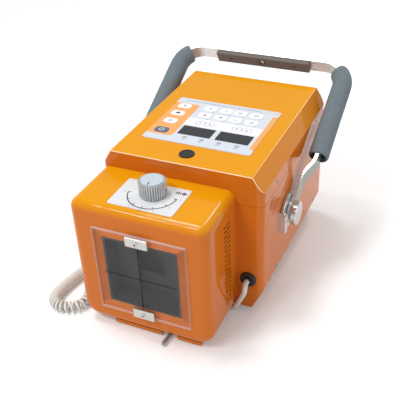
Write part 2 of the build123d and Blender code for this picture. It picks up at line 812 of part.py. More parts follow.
nodes = {
    "case_tub": tub,
    "case_lid": lid,
    "generator_block": generator_block(),
    "collimator_housing": collimator_housing(),
    "shutter_box": shutter_box(),
    "shutter_blades_upright": upright_blades,
    "shutter_blades_level": level_blades,
    "beam_window": plate,
    "window_clip_top": clips[0],
    "window_clip_bottom": clips[1],
    "dial_plate": dial_plate(),
    "field_knob": knob,
    "field_knob_cap": knob_cap,
    "collimator_foot_plate": tray,
    "shutter_lever_boss": lever_boss,
    "shutter_lever": lever,
    "control_panel": panel,
    "display_left": displays[0],
    "display_right": displays[1],
    "panel_keys": keys,
    "power_key": power_key,
    "badge_disc": badge,
    "handle_bar": bar,
    "handle_grip_right": grip_right,
    "handle_grip_left": grip_left,
    "handle_pad": pad,
    "handle_pad_bolt": pad_bolt,
    "pivot_boss_right": boss_right,
    "pivot_boss_left": boss_left,
    "handle_stop_right": stop_right,
    "handle_stop_left": stop_left,
    "pivot_bolt_right": bolt_right,
    "pivot_bolt_left": bolt_left,
    "rubber_feet": feet(),
    "stand_bush": stand_bush(),
    "rear_panel": rear_panel,
    "mains_inlet": inlet,
    "rear_switch": rear_switch,
    "side_screws": side_screws(),
    "cable_gland": gland,
    "hand_switch_lead": lead,
    "cord_sleeve": sleeve,
    "curly_cord": curl,
    "hand_switch": hand_switch,
    "hand_switch_button": hand_button,
}

for name, shape in nodes.items():
    export_step(shape, f"parts/{name}.step")
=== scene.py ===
import json
import math

import bpy
import numpy as np
from mathutils import Matrix, Vector


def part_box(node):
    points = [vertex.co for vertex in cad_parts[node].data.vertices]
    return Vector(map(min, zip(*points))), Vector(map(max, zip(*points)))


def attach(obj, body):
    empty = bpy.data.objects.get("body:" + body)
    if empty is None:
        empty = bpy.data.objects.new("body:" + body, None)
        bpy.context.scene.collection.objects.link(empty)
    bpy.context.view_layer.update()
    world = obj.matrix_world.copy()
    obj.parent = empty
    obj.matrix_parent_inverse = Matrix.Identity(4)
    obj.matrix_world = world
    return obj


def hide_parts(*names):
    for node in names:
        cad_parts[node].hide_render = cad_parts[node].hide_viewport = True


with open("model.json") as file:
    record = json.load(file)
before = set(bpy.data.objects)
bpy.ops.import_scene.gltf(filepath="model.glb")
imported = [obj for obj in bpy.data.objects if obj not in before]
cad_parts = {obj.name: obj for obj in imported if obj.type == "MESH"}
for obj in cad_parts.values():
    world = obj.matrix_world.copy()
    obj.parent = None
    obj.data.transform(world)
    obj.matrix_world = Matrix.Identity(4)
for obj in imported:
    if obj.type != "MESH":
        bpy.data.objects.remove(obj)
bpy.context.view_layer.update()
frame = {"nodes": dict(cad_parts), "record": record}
nodes = frame["nodes"]
mm = 0.001


# Small helpers

def say(text):
    print("scene:", text)


def deselectAll():
    if bpy.context.object and bpy.context.object.mode != "OBJECT":
        bpy.ops.object.mode_set(mode="OBJECT")
    bpy.ops.object.select_all(action="DESELECT")


def pick(obj):
    deselectAll()
    obj.select_set(True)
    bpy.context.view_layer.objects.active = obj


def settle(obj):
    pick(obj)
    bpy.ops.object.transform_apply(location=True, rotation=True, scale=True)


def smooth(obj, degrees=35):
    pick(obj)
    bpy.ops.object.shade_smooth_by_angle(angle=math.radians(degrees))


def middle(node):
    low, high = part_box(node)
    return (low + high) / 2


# Shader nodes that groups and materials are made of

def setOrLink(tree, socket, value):
    # the value is a number, a tuple or another node's output
    if isinstance(value, bpy.types.NodeSocket):
        tree.links.new(value, socket)
    else:
        socket.default_value = value


def fullColor(color):
    return (*color, 1) if isinstance(color, tuple) else color


def surface(tree):
    return tree.nodes.new("ShaderNodeTexCoord").outputs


def axes(tree, vector):
    split = tree.nodes.new("ShaderNodeSeparateXYZ")
    tree.links.new(vector, split.inputs[0])
    return split.outputs


def mathNode(tree, operation, *values):
    node = tree.nodes.new("ShaderNodeMath")
    node.operation = operation
    for socket, value in zip(node.inputs, values):
        setOrLink(tree, socket, value)
    return node.outputs[0]


def vectorNode(tree, operation, *values):
    node = tree.nodes.new("ShaderNodeVectorMath")
    node.operation = operation
    for socket, value in zip(node.inputs, values):
        setOrLink(tree, socket, value)
    return node


def ramp(tree, value, fromMin, fromMax, toMin=0.0, toMax=1.0):
    node = tree.nodes.new("ShaderNodeMapRange")
    for name, number in (("From Min", fromMin), ("From Max", fromMax), ("To Min", toMin), ("To Max", toMax)):
        node.inputs[name].default_value = number
    tree.links.new(value, node.inputs["Value"])
    return node.outputs["Result"]


def blend(tree, factor, first, second):
    # the first colour at 0 and the second at 1
    mix = tree.nodes.new("ShaderNodeMix")
    mix.data_type = "RGBA"
    tree.links.new(factor, mix.inputs["Factor"])
    setOrLink(tree, mix.inputs["A"], fullColor(first))
    setOrLink(tree, mix.inputs["B"], fullColor(second))
    return mix.outputs["Result"]


# Shader groups that several finishes share

def startGroup(name, inputs, outputs):
    group = bpy.data.node_groups.new(name, "ShaderNodeTree")
    for socketName, kind, value in inputs:
        socket = group.interface.new_socket(socketName, in_out="INPUT", socket_type=kind)
        socket.default_value = value
    for socketName, kind in outputs:
        group.interface.new_socket(socketName, in_out="OUTPUT", socket_type=kind)
    return group, group.nodes.new("NodeGroupInput").outputs, group.nodes.new("NodeGroupOutput").inputs


def makeDriftGroup():
    # slow change of tone over a surface
    group, ins, outs = startGroup(
        "toneDrift",
        [("Color", "NodeSocketColor", (0.5, 0.5, 0.5, 1)), ("Scale", "NodeSocketFloat", 20.0),
         ("Amount", "NodeSocketFloat", 0.05)],
        [("Color", "NodeSocketColor")])
    noise = group.nodes.new("ShaderNodeTexNoise")
    noise.inputs["Detail"].default_value = 3.0
    group.links.new(surface(group)["Object"], noise.inputs["Vector"])
    group.links.new(ins["Scale"], noise.inputs["Scale"])
    centred = mathNode(group, "SUBTRACT", noise.outputs["Fac"], 0.5)
    scaled = vectorNode(group, "SCALE", ins["Color"])
    group.links.new(mathNode(group, "MULTIPLY_ADD", centred, ins["Amount"], 1.0), scaled.inputs["Scale"])
    group.links.new(scaled.outputs[0], outs["Color"])
    return group


def makeGrainGroup():
    # fine grain as a height and as a roughness
    group, ins, outs = startGroup(
        "fineGrain",
        [("Scale", "NodeSocketFloat", 800.0), ("Detail", "NodeSocketFloat", 2.0),
         ("Roughness", "NodeSocketFloat", 0.5), ("Spread", "NodeSocketFloat", 0.05)],
        [("Height", "NodeSocketFloat"), ("Roughness", "NodeSocketFloat")])
    noise = group.nodes.new("ShaderNodeTexNoise")
    group.links.new(surface(group)["Object"], noise.inputs["Vector"])
    group.links.new(ins["Scale"], noise.inputs["Scale"])
    group.links.new(ins["Detail"], noise.inputs["Detail"])
    centred = mathNode(group, "SUBTRACT", noise.outputs["Fac"], 0.5)
    spread = mathNode(group, "MULTIPLY_ADD", centred, ins["Spread"], ins["Roughness"])
    group.links.new(noise.outputs["Fac"], outs["Height"])
    group.links.new(spread, outs["Roughness"])
    return group


def makeRimHighlightGroup():
    # mask for a painted highlight: 1 on the narrow rounded rims between the case's flat faces, 0 on the faces and on
    # all that looks down
    group, ins, outs = startGroup(
        "caseRimHighlight",
        [("Gain", "NodeSocketFloat", 7.0), ("Slope", "NodeSocketVector", (0.8, 0.0, 0.6)),
         ("Upward Gain", "NodeSocketFloat", 5.0)],
        [("Rim", "NodeSocketFloat")])
    normal = surface(group)["Normal"]
    positive = vectorNode(group, "ABSOLUTE", normal).outputs["Vector"]
    slant = vectorNode(group, "DOT_PRODUCT", positive, ins["Slope"]).outputs["Value"]
    sizes = axes(group, positive)
    flat = mathNode(group, "MAXIMUM", mathNode(group, "MAXIMUM", sizes["X"], sizes["Y"]),
                    mathNode(group, "MAXIMUM", sizes["Z"], slant))
    rim = mathNode(group, "MULTIPLY", mathNode(group, "SUBTRACT", 1.0, flat), ins["Gain"])
    up = mathNode(group, "MAXIMUM", axes(group, normal)["Z"], 0.0)
    upward = mathNode(group, "MULTIPLY", up, ins["Upward Gain"])
    both = mathNode(group, "MULTIPLY", mathNode(group, "MINIMUM", rim, 1.0),
                    mathNode(group, "MINIMUM", upward, 1.0))
    group.links.new(both, outs["Rim"])
    return group


driftGroup = makeDriftGroup()
rimHighlightGroup = makeRimHighlightGroup()
grainGroup = makeGrainGroup()


# Materials

def startMaterial(name, look):
    material = bpy.data.materials.new(name)
    material.use_nodes = True
    shader = material.node_tree.nodes["Principled BSDF"]
    shader.inputs["Base Color"].default_value = fullColor(look["color"])
    for socketName, key, usual in (("Metallic", "metal", 0.0), ("Coat Weight", "coat", 0.0),
                                   ("Coat Roughness", "coatRough", 0.05), ("Coat IOR", "coatIor", 1.5),
                                   ("Specular IOR Level", "specular", 0.5)):
        shader.inputs[socketName].default_value = look.get(key, usual)
    return material, material.node_tree, shader


def addGroup(tree, group, values):
    node = tree.nodes.new("ShaderNodeGroup")
    node.node_tree = group
    for socketName, value in values.items():
        setOrLink(tree, node.inputs[socketName], value)
    return node.outputs


def addDrift(tree, shader, color, scale, amount):
    drift = addGroup(tree, driftGroup, {"Color": fullColor(color), "Scale": scale, "Amount": amount})
    tree.links.new(drift["Color"], shader.inputs["Base Color"])


def addBump(tree, shader, height, strength, depth):
    bump = tree.nodes.new("ShaderNodeBump")
    bump.inputs["Strength"].default_value = strength
    bump.inputs["Distance"].default_value = depth
    tree.links.new(height, bump.inputs["Height"])
    tree.links.new(bump.outputs["Normal"], shader.inputs["Normal"])


def addGrain(tree, shader, look):
    grain = addGroup(tree, grainGroup, {
        "Scale": look.get("grainScale", 900.0), "Detail": look.get("grainDetail", 2.0),
        "Roughness": look.get("rough", 0.5), "Spread": look.get("roughSpread", 0.08)})
    tree.links.new(grain["Roughness"], shader.inputs["Roughness"])
    addBump(tree, shader, grain["Height"], look.get("bump", 0.1), look.get("bumpDepth", 0.2 * mm))


def plainFinish(name, look):
    material, tree, shader = startMaterial(name, look)
    addDrift(tree, shader, look["color"], look.get("driftScale", 25.0), look.get("drift", 0.08))
    addGrain(tree, shader, look)
    return material


paint = {
    "color": (0.66, 0.163, 0.010),
    # painted light: the upward faces are painted lighter and warmer, as if lit from above
    "litTopColor": (0.81, 0.330, 0.004),
    "litTopFrom": 0.1,
    "litTopFull": 0.95,
    "rough": 0.34,
    "roughSpread": 0.05,
    "specular": 0.0,
    "coat": 1.0,
    "coatRough": 0.02,
    "coatIor": 1.33,
    # painted shade in the vent's slots
    "slotShadeColor": (0.03, 0.012, 0.005),
    # painted highlight on the upward rims of the case
    "rimHighlightColor": (1.0, 0.80, 0.52),
    "rimHighlightShare": 0.95,
    "rimHighlightGain": 7.0,
    "bevelNormal": (0.8480, 0.0, 0.5300),
    "driftScale": 9.0,
    "drift": 0.05,
    "grainScale": 420.0,
    "bump": 0.02,
}


def makePaint(name, slotShadeBox=None, rimHighlight=False):
    # orange powder coat with painted light: the upward faces are painted lighter and warmer as if lit from above, the
    # slot walls in the given box get painted shade, and the narrow rims that face up get a pale painted highlight
    material, tree, shader = startMaterial(name, paint)
    coords = surface(tree)
    # painted light: faces that look up blend towards the lighter, warmer colour
    up = ramp(tree, axes(tree, coords["Normal"])["Z"], paint["litTopFrom"], paint["litTopFull"])
    color = blend(tree, up, paint["color"], paint["litTopColor"])
    # painted shade: the walls inside the slot box are painted dark, where shade falls in the slots
    if slotShadeBox:
        spot = axes(tree, coords["Object"])
        inside = 1.0
        for axis, low, high in zip("XYZ", *slotShadeBox):
            for operation, limit in (("GREATER_THAN", low), ("LESS_THAN", high)):
                inside = mathNode(tree, "MULTIPLY", inside, mathNode(tree, operation, spot[axis], limit))
        color = blend(tree, inside, color, paint["slotShadeColor"])
    # painted highlight: a pale colour on the narrow rims that face up
    if rimHighlight:
        rim = addGroup(tree, rimHighlightGroup, {"Gain": paint["rimHighlightGain"], "Slope": paint["bevelNormal"]})
        share = mathNode(tree, "MULTIPLY", rim["Rim"], paint["rimHighlightShare"])
        color = blend(tree, share, color, paint["rimHighlightColor"])
    addDrift(tree, shader, color, paint["driftScale"], paint["drift"])
    addGrain(tree, shader, paint)
    return material


def makeFilm(name, color):
    # printed polyester film, as on the panel and the scale plate
    return plainFinish(name, {"color": color, "rough": 0.34, "grainScale": 1600.0, "bump": 0.05, "coat": 0.25,
                              "coatRough": 0.2, "drift": 0.03})


def makeSteel(name, look, tint=None):
    # drawn or turned metal: streaks along one axis set the roughness and a little relief
    material, tree, shader = startMaterial(name, look)
    coords = surface(tree)
    stretch = tree.nodes.new("ShaderNodeMapping")
    stretch.inputs["Scale"].default_value = look["streak"]
    tree.links.new(coords["Object"], stretch.inputs["Vector"])
    noise = tree.nodes.new("ShaderNodeTexNoise")
    noise.inputs["Scale"].default_value = 1.0
    noise.inputs["Detail"].default_value = 4.0
    tree.links.new(stretch.outputs[0], noise.inputs["Vector"])
    rough = ramp(tree, noise.outputs["Fac"], 0.0, 1.0, look["rough"] - look["roughSpread"],
                 look["rough"] + look["roughSpread"])
    tree.links.new(rough, shader.inputs["Roughness"])
    color = tint(tree, coords, look) if tint else look["color"]
    addDrift(tree, shader, color, look.get("driftScale", 60.0), look["drift"])
    addBump(tree, shader, noise.outputs["Fac"], look["bump"], look.get("bumpDepth", 0.1 * mm))
    return material


barLook = {
    "color": (0.80, 0.80, 0.79),
    # painted shade on the bar's flat faces, beside the bright edges painted as a highlight
    "shadedFaceColor": (0.31, 0.32, 0.29),
    "metal": 0.6,
    "rough": 0.28,
    "roughSpread": 0.03,
    "streak": (60, 500, 500),
    "drift": 0.03,
    "bump": 0.0,
}


def shadedFaces(tree, coords, look):
    # painted light: the bar's flat faces, across the X axis, are painted dark as shade, and its cut edges keep the
    # bright colour as a painted highlight
    flat = mathNode(tree, "ABSOLUTE", axes(tree, coords["Normal"])["X"])
    return blend(tree, flat, look["color"], look["shadedFaceColor"])


knobLook = {
    "color": (0.62, 0.63, 0.65),
    # painted shade in the grooves round the knob's side
    "grooveShadeColor": (0.17, 0.18, 0.20),
    "groove": 0.9 * mm,
    "metal": 0.7,
    "rough": 0.3,
    "roughSpread": 0.1,
    "streak": (1500, 1500, 60),
    "drift": 0.15,
    "bump": 0.1,
}


def shadedGrooves(tree, coords, look):
    # painted shade: the knob is painted darker in the grooves round its side, while the ridges and the upward faces
    # keep the bright colour
    low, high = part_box("field_knob")
    radius = (high.x - low.x) / 2
    centred = vectorNode(tree, "SUBTRACT", coords["Object"], ((low.x + high.x) / 2, (low.y + high.y) / 2, 0))
    level = vectorNode(tree, "MULTIPLY", centred.outputs["Vector"], (1, 1, 0))
    reach = vectorNode(tree, "LENGTH", level.outputs["Vector"]).outputs["Value"]
    ridge = ramp(tree, reach, radius - look["groove"], radius - 0.1 * look["groove"])
    bright = mathNode(tree, "MAXIMUM", ridge, axes(tree, coords["Normal"])["Z"])
    return blend(tree, bright, look["grooveShadeColor"], look["color"])


windowLook = {
    "color": (0.80, 0.77, 0.80),
    "rough": 0.06,
    "roughSpread": 0.02,
    "bump": 0.01,
    "drift": 0.02,
    "clear": 0.04,
    "edge": 0.5,
    "edgeUntil": 0.3,
    "clearFrom": 0.8,
}


def makeWindow():
    # clear plate whose cut edges look milky
    material = plainFinish("clearAcrylic", windowLook)
    tree = material.node_tree
    facing = mathNode(tree, "ABSOLUTE", axes(tree, surface(tree)["Normal"])["Y"])
    alpha = ramp(tree, facing, windowLook["edgeUntil"], windowLook["clearFrom"], windowLook["edge"],
                 windowLook["clear"])
    tree.links.new(alpha, tree.nodes["Principled BSDF"].inputs["Alpha"])
    return material


foamLook = {
    "color": (0.175, 0.215, 0.240),
    "rough": 0.92,
    "specular": 0.25,
    "grainScale": 1500.0,
    "grainDetail": 5.0,
    "bump": 0.55,
    "bumpDepth": 0.6 * mm,
    "drift": 0.16,
    "driftScale": 120.0,
}

finish = {
    "orange_paint": makePaint("orangePaint"),
    "panel_film": makeFilm("panelFilm", (0.70, 0.745, 0.82)),
    "tank_grey": plainFinish("tankGrey", {"color": (0.35, 0.36, 0.37)}),
    "dark_interior": plainFinish("darkInterior", {"color": (0.020, 0.021, 0.018), "rough": 0.7, "drift": 0.2}),
    "clear_window": makeWindow(),
    "brushed_clip": makeSteel("satinClip", {"color": (0.60, 0.59, 0.56), "metal": 0.85, "rough": 0.34,
                                            "roughSpread": 0.1, "streak": (60, 900, 900), "drift": 0.1,
                                            "bump": 0.1}),
    "knob_grey": makeSteel("knobGrey", knobLook, shadedGrooves),
    "knob_cap": plainFinish("knobCap", {"color": (0.56, 0.64, 0.70), "rough": 0.32, "drift": 0.05, "coat": 0.3}),
    "black_plastic": plainFinish("blackPlastic", {"color": (0.018, 0.018, 0.020), "rough": 0.4, "grainScale": 2500.0}),
    "bright_steel": makeSteel("turnedSteel", {"color": (0.64, 0.65, 0.65), "metal": 1.0, "rough": 0.22,
                                              "roughSpread": 0.08, "streak": (60, 1800, 1800), "drift": 0.06,
                                              "bump": 0.08}),
    "display_glass": plainFinish("displayGlass", {"color": (0.026, 0.027, 0.031), "rough": 0.14, "bump": 0.0,
                                                  "roughSpread": 0.02, "coat": 0.2}),
    "white_key": plainFinish("whiteKey", {"color": (0.93, 0.94, 0.96), "rough": 0.35, "drift": 0.02}),
    "blue_key": plainFinish("blueKey", {"color": (0.11, 0.15, 0.23), "rough": 0.35, "drift": 0.05}),
    "handle_steel": makeSteel("handleSteel", barLook, shadedFaces),
    "grip_foam": plainFinish("gripFoam", foamLook),
    "pad_rubber": plainFinish("padRubber", {"color": (0.155, 0.135, 0.125), "rough": 0.6, "grainScale": 2200.0,
                                            "bump": 0.2}),
    "black_rubber": plainFinish("blackRubber", {"color": (0.012, 0.012, 0.012), "rough": 0.5, "bump": 0.15}),
    "grey_plate": plainFinish("greyPlate", {"color": (0.55, 0.56, 0.57), "rough": 0.45}),
    "cord_cream": plainFinish("cordCream", {"color": (0.75, 0.74, 0.69), "rough": 0.42, "drift": 0.08,
                                            "driftScale": 60.0, "bump": 0.05}),
    "strip_orange": plainFinish("stripOrange", {"color": (0.93, 0.42, 0.13), "rough": 0.4, "drift": 0.03}),
    "print_grey": plainFinish("printGrey", {"color": (0.16, 0.185, 0.23), "rough": 0.5, "drift": 0.03}),
    "print_black": plainFinish("printBlack", {"color": (0.003, 0.003, 0.003), "rough": 0.6, "specular": 0.1}),
    "print_dark": plainFinish("printDark", {"color": (0.02, 0.025, 0.04), "rough": 0.45, "drift": 0.03}),
    "switch_shell": plainFinish("switchShell", {"color": (0.69, 0.665, 0.59), "rough": 0.4, "bump": 0.08}),
}


def dress(obj, material):
    obj.data.materials.clear()
    obj.data.materials.append(material)


# Walls of the vent's slots, given painted shade
ventSet = {
    "front": -134.0 * mm,
    "back": -114.5 * mm,
    "bottom": 36.0 * mm,
    "top": 148.0 * mm,
    "lip": 0.3 * mm,
    "deep": 6.0 * mm,
}

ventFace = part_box("collimator_housing")[1].x
darkChrome = makeSteel("darkChrome", {"color": (0.36, 0.36, 0.37), "metal": 0.55, "rough": 0.16, "roughSpread": 0.05,
                                      "streak": (900, 900, 900), "drift": 0.1, "bump": 0.05})
ownFinish = {
    # painted shade on the walls of the vent's slots
    "collimator_housing": makePaint("ventShadePaint", (
        (ventFace - ventSet["deep"], ventSet["front"], ventSet["bottom"]),
        (ventFace - ventSet["lip"], ventSet["back"], ventSet["top"]))),
    "case_lid": makePaint("rimHighlightPaint", rimHighlight=True),
    "dial_plate": makeFilm("dialFilm", (0.775, 0.795, 0.81)),
    "shutter_lever": darkChrome,
    "side_screws": darkChrome,
}

slotOf = {part["node"]: part["material_slot"] for part in frame["record"]["subparts"]}
for nodeName, node in nodes.items():
    dress(node, ownFinish.get(nodeName, finish[slotOf[nodeName]]))
say("finishes made and given to the CAD nodes")


def place(obj, body, slotName):
    # the finished piece takes its finish from a slot, or from one of the prints, and rides on its body
    dress(obj, finish[slotName])
    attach(obj, body)


# Camera at the photograph's place

cameraSet = {
    "place": (0.31413, -0.69712, 0.5958),
    "turn": 25.37,
    "down": 33.92,
    "roll": -2.733,
    "lens": 62.69,
    "sensor": 36,
}


def makeCamera():
    turn = Matrix.Rotation(math.radians(cameraSet["turn"]), 4, "Z")
    tip = Matrix.Rotation(math.radians(90 - cameraSet["down"]), 4, "X")
    roll = Matrix.Rotation(math.radians(cameraSet["roll"]), 4, "Z")
    bpy.ops.object.camera_add()
    camera = bpy.context.object
    camera.name = "photoCamera"
    camera.matrix_world = Matrix.Translation(cameraSet["place"]) @ turn @ tip @ roll
    camera.data.sensor_width = cameraSet["sensor"]
    camera.data.lens = cameraSet["lens"]
    camera.data.clip_start = 0.01
    camera.data.clip_end = 50
    bpy.context.scene.camera = camera


makeCamera()
say("camera placed")


# The cord: lead, curly part and their join, on the route of the CAD model

cordSet = {
    "leadThick": 6.4 * mm,
    "curlThick": 3.8 * mm,
    "curlOuter": 15.0 * mm,
    "tightPitch": 4.05 * mm,
    "openPitch": 6.5 * mm,
    "openUntil": 55 * mm,
    "closedFrom": 75 * mm,
    "turnPoints": 16,
    "lookAhead": 1 * mm,
}

leadRoute = [tuple(value * mm for value in point) for point in (
    (82, -101, 53), (82, -105, 53), (82.2, -108, 50.2), (82.3, -108.6, 45.4), (80.6, -107.8, 39.4),
    (77.3, -106.6, 32), (73.9, -105.2, 24.5), (69.5, -103.6, 15), (64, -101.6, 6.4), (56, -98.5, 3.2),
    (44, -94.8, 3.2), (20, -91, 3.2), (-18, -89, 3.2), (-62, -90, 3.2), (-92, -82.5, 3.2), (-108.5, -81.5, 3.2),
    (-118.5, -89, 3.2), (-122.2, -99, 3.2), (-120.4, -111, 3.2))]
curlRoute = [(x * mm, y * mm, 7.5 * mm) for x, y in (
    (-118, -127), (-116.5, -137), (-112.6, -147), (-109.8, -157.5), (-114.5, -169.5), (-127, -177.4), (-142, -177),
    (-151.8, -167), (-152.2, -152.5), (-149.6, -133), (-145, -111), (-135, -82), (-123, -50), (-118, -24),
    (-118, 0))]


def splineCurve(name, points, thick=0.0, resolution=12):
    curve = bpy.data.curves.new(name, "CURVE")
    curve.dimensions = "3D"
    spline = curve.splines.new("NURBS")
    spline.points.add(len(points) - 1)
    for spot, point in zip(spline.points, points):
        spot.co = (*point, 1)
    spline.order_u = 3
    spline.use_endpoint_u = True
    spline.resolution_u = resolution
    curve.bevel_depth = thick / 2
    curve.bevel_resolution = 4
    curve.use_fill_caps = True
    obj = bpy.data.objects.new(name, curve)
    bpy.context.scene.collection.objects.link(obj)
    return obj


def linePoints(route):
    # points read from the route's own smooth line
    guide = splineCurve("routeGuide", route)
    mesh = bpy.data.meshes.new_from_object(guide)
    line = np.array([v.co for v in mesh.vertices], float)
    bpy.data.objects.remove(guide)
    bpy.data.meshes.remove(mesh)
    return line


def lineLength(line):
    return float(np.linalg.norm(np.diff(line, axis=0), axis=1).sum())


def helixPoints(route):
    # turns round the route, open at its start and tight further on
    line = linePoints(route)
    steps = np.linalg.norm(np.diff(line, axis=0), axis=1)
    run = np.concatenate([[0], np.cumsum(steps)])
    radius = (cordSet["curlOuter"] - cordSet["curlThick"]) / 2
    near = cordSet["lookAhead"]
    points = []
    angle, s = 0.0, 0.0
    side = Vector((0, 0, 1))
    while s < run[-1]:
        here = Vector([np.interp(s, run, line[:, i]) for i in range(3)])
        ahead = Vector([np.interp(min(s + near, run[-1]), run, line[:, i]) for i in range(3)])
        back = Vector([np.interp(max(s - near, 0), run, line[:, i]) for i in range(3)])
        way = (ahead - back).normalized()
        side = (side - way * side.dot(way)).normalized()
        other = way.cross(side)
        points.append(here + radius * (math.cos(angle) * side + math.sin(angle) * other))
        share = (s - cordSet["openUntil"]) / (cordSet["closedFrom"] - cordSet["openUntil"])
        share = min(1.0, max(0.0, share))
        pitch = cordSet["openPitch"] + (cordSet["tightPitch"] - cordSet["openPitch"]) * share
        angle += 2 * math.pi / cordSet["turnPoints"]
        s += pitch / cordSet["turnPoints"]
    return [tuple(p) for p in points]


def makeCords():
    lead = splineCurve("handSwitchLead", leadRoute, cordSet["leadThick"])
    place(lead, "case", "cord_cream")
    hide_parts("hand_switch_lead")
    curlPoints = helixPoints(curlRoute)
    curl = splineCurve("curlyCord", curlPoints, cordSet["curlThick"], 3)
    curl.data.bevel_resolution = 3
    place(curl, "case", "cord_cream")
    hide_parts("curly_cord")
    leadLength = lineLength(linePoints(leadRoute))
    curlLength = lineLength(linePoints(curlPoints))
    say(f"lead {leadLength:.3f} m, curly cord {curlLength:.3f} m of wire")


makeCords()
say("cords laid")


# Rings stacked round an axis

def turned(name, profile, sides, tube=False):
    # profile holds (radius, height) pairs; a tube's profile ends where it starts
    deselectAll()
    bpy.ops.mesh.primitive_circle_add(vertices=sides, radius=profile[0][0], fill_type="NOTHING" if tube else "NGON",
                                      location=(0, 0, 0))
    obj = bpy.context.object
    obj.name = name
    bpy.ops.object.mode_set(mode="EDIT")
    bpy.ops.mesh.select_all(action="SELECT")
    bpy.ops.transform.translate(value=(0, 0, profile[0][1]))
    for (oldRadius, oldHeight), (radius, height) in zip(profile, profile[1:]):
        bpy.ops.mesh.extrude_region_move(TRANSFORM_OT_translate={"value": (0, 0, height - oldHeight)})
        ratio = radius / oldRadius
        bpy.ops.transform.resize(value=(ratio, ratio, 1))
    bpy.ops.mesh.select_all(action="SELECT")
    bpy.ops.mesh.remove_doubles(threshold=0.000001)
    bpy.ops.mesh.normals_make_consistent(inside=False)
    bpy.ops.object.mode_set(mode="OBJECT")
    return obj


# Foam grips round the bar, straight and then bent with its corner

gripSet = {
    "across": 12.7 * mm,
    "bore": 10.45 * mm,
    "legOut": 117.8 * mm,
    "start": 82.0 * mm,
    "corner": 193.5 * mm,
    "cornerRound": 31.0 * mm,
    "cornerTurn": 50,
    "lean": 62.3,
    "pivot": (0, -17 * mm, 104 * mm),
    "lowRound": 2.8 * mm,
    "highRound": 6.5 * mm,
    "rings": 38,
    "boreRings": 24,
    "endSteps": 6,
    "sides": 56,
    "dent": 0.25 * mm,
    "dentSize": 20 * mm,
}


def gripPath():
    # the leg's line and the corner's arc, in the upright handle
    points = [(gripSet["legOut"], 0, gripSet["start"]), (gripSet["legOut"], 0, gripSet["corner"])]
    radius = gripSet["cornerRound"]
    for turn in range(2, gripSet["cornerTurn"] + 1, 2):
        angle = math.radians(turn)
        points.append((gripSet["legOut"] - radius * (1 - math.cos(angle)), 0,
                       gripSet["corner"] + radius * math.sin(angle)))
    curve = bpy.data.curves.new("gripPath", "CURVE")
    curve.dimensions = "3D"
    spline = curve.splines.new("POLY")
    spline.points.add(len(points) - 1)
    for spot, point in zip(spline.points, points):
        spot.co = (*point, 1)
    path = bpy.data.objects.new("gripPath", curve)
    bpy.context.scene.collection.objects.link(path)
    return path


def makeGrip(side, nodeName, pieceName):
    # a straight tube with rounded ends, bent along the bar and leaned back with the handle
    length = gripSet["corner"] - gripSet["start"] + gripSet["cornerRound"] * math.radians(gripSet["cornerTurn"])
    outer, bore = gripSet["across"], gripSet["bore"]
    wall = outer - bore
    low, high = gripSet["lowRound"], gripSet["highRound"]
    quarter = [math.radians(90 * step / gripSet["endSteps"]) for step in range(1, gripSet["endSteps"] + 1)]
    profile = [(bore, 0.0)]
    for angle in quarter:
        profile.append((bore + wall * math.sin(angle), low * (1 - math.cos(angle))))
    for step in range(1, gripSet["rings"] + 1):
        profile.append((outer, low + (length - low - high) * step / gripSet["rings"]))
    for angle in quarter:
        profile.append((bore + wall * math.cos(angle), length - high + high * math.sin(angle)))
    for step in range(1, gripSet["boreRings"] + 1):
        profile.append((bore, length * (1 - step / gripSet["boreRings"])))
    grip = turned(pieceName, profile, gripSet["sides"], tube=True)
    path = gripPath()
    bend = grip.modifiers.new("bend", "CURVE")
    bend.object = path
    bend.deform_axis = "POS_Z"
    texture = bpy.data.textures.new(pieceName + "Dents", "CLOUDS")
    texture.noise_scale = gripSet["dentSize"]
    push = grip.modifiers.new("dents", "DISPLACE")
    push.texture = texture
    push.strength = gripSet["dent"]
    pick(grip)
    bpy.ops.object.modifier_apply(modifier="bend")
    bpy.ops.object.modifier_apply(modifier="dents")
    bpy.data.objects.remove(path)
    grip.scale = (side, 1, 1)
    grip.rotation_euler = (-math.radians(gripSet["lean"]), 0, 0)
    grip.location = gripSet["pivot"]
    settle(grip)
    pick(grip)
    bpy.ops.object.mode_set(mode="EDIT")
    bpy.ops.mesh.select_all(action="SELECT")
    bpy.ops.mesh.normals_make_consistent(inside=False)
    bpy.ops.object.mode_set(mode="OBJECT")
    smooth(grip, 50)
    place(grip, "handle", "grip_foam")
    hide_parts(nodeName)


makeGrip(1, "handle_grip_right", "foamGripRight")
makeGrip(-1, "handle_grip_left", "foamGripLeft")
say("foam grips made")


# Lines engraved on the beam window, crossing at the beam's middle

crossSet = {
    "line": 1.0 * mm,
    "rise": 0.08 * mm,
    "halfAcross": 45.5 * mm,
}


def slab(name, low, high):
    # thin block between two corners
    low, high = Vector(low), Vector(high)
    bpy.ops.mesh.primitive_cube_add(size=1, location=(low + high) / 2)
    obj = bpy.context.object
    obj.name = name
    obj.scale = high - low
    settle(obj)
    return obj


def joinPieces(pieces, name):
    deselectAll()
    for piece in pieces:
        piece.select_set(True)
    bpy.context.view_layer.objects.active = pieces[0]
    bpy.ops.object.join()
    pieces[0].name = name
    return pieces[0]


def makeCross():
    low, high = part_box("beam_window")
    centre = (low + high) / 2
    front = low.y
    half = crossSet["line"] / 2
    reach = crossSet["halfAcross"]
    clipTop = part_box("window_clip_top")[0].z
    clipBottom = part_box("window_clip_bottom")[1].z
    upright = slab("upright", (centre.x - half, front - crossSet["rise"], clipBottom),
                   (centre.x + half, front, clipTop))
    level = slab("level", (centre.x - reach, front - crossSet["rise"], centre.z - half),
                 (centre.x + reach, front, centre.z + half))
    place(joinPieces([upright, level], "windowCross"), "case", "print_black")


makeCross()
say("window cross drawn")


# Flat print: closed outlines filled and raised a little

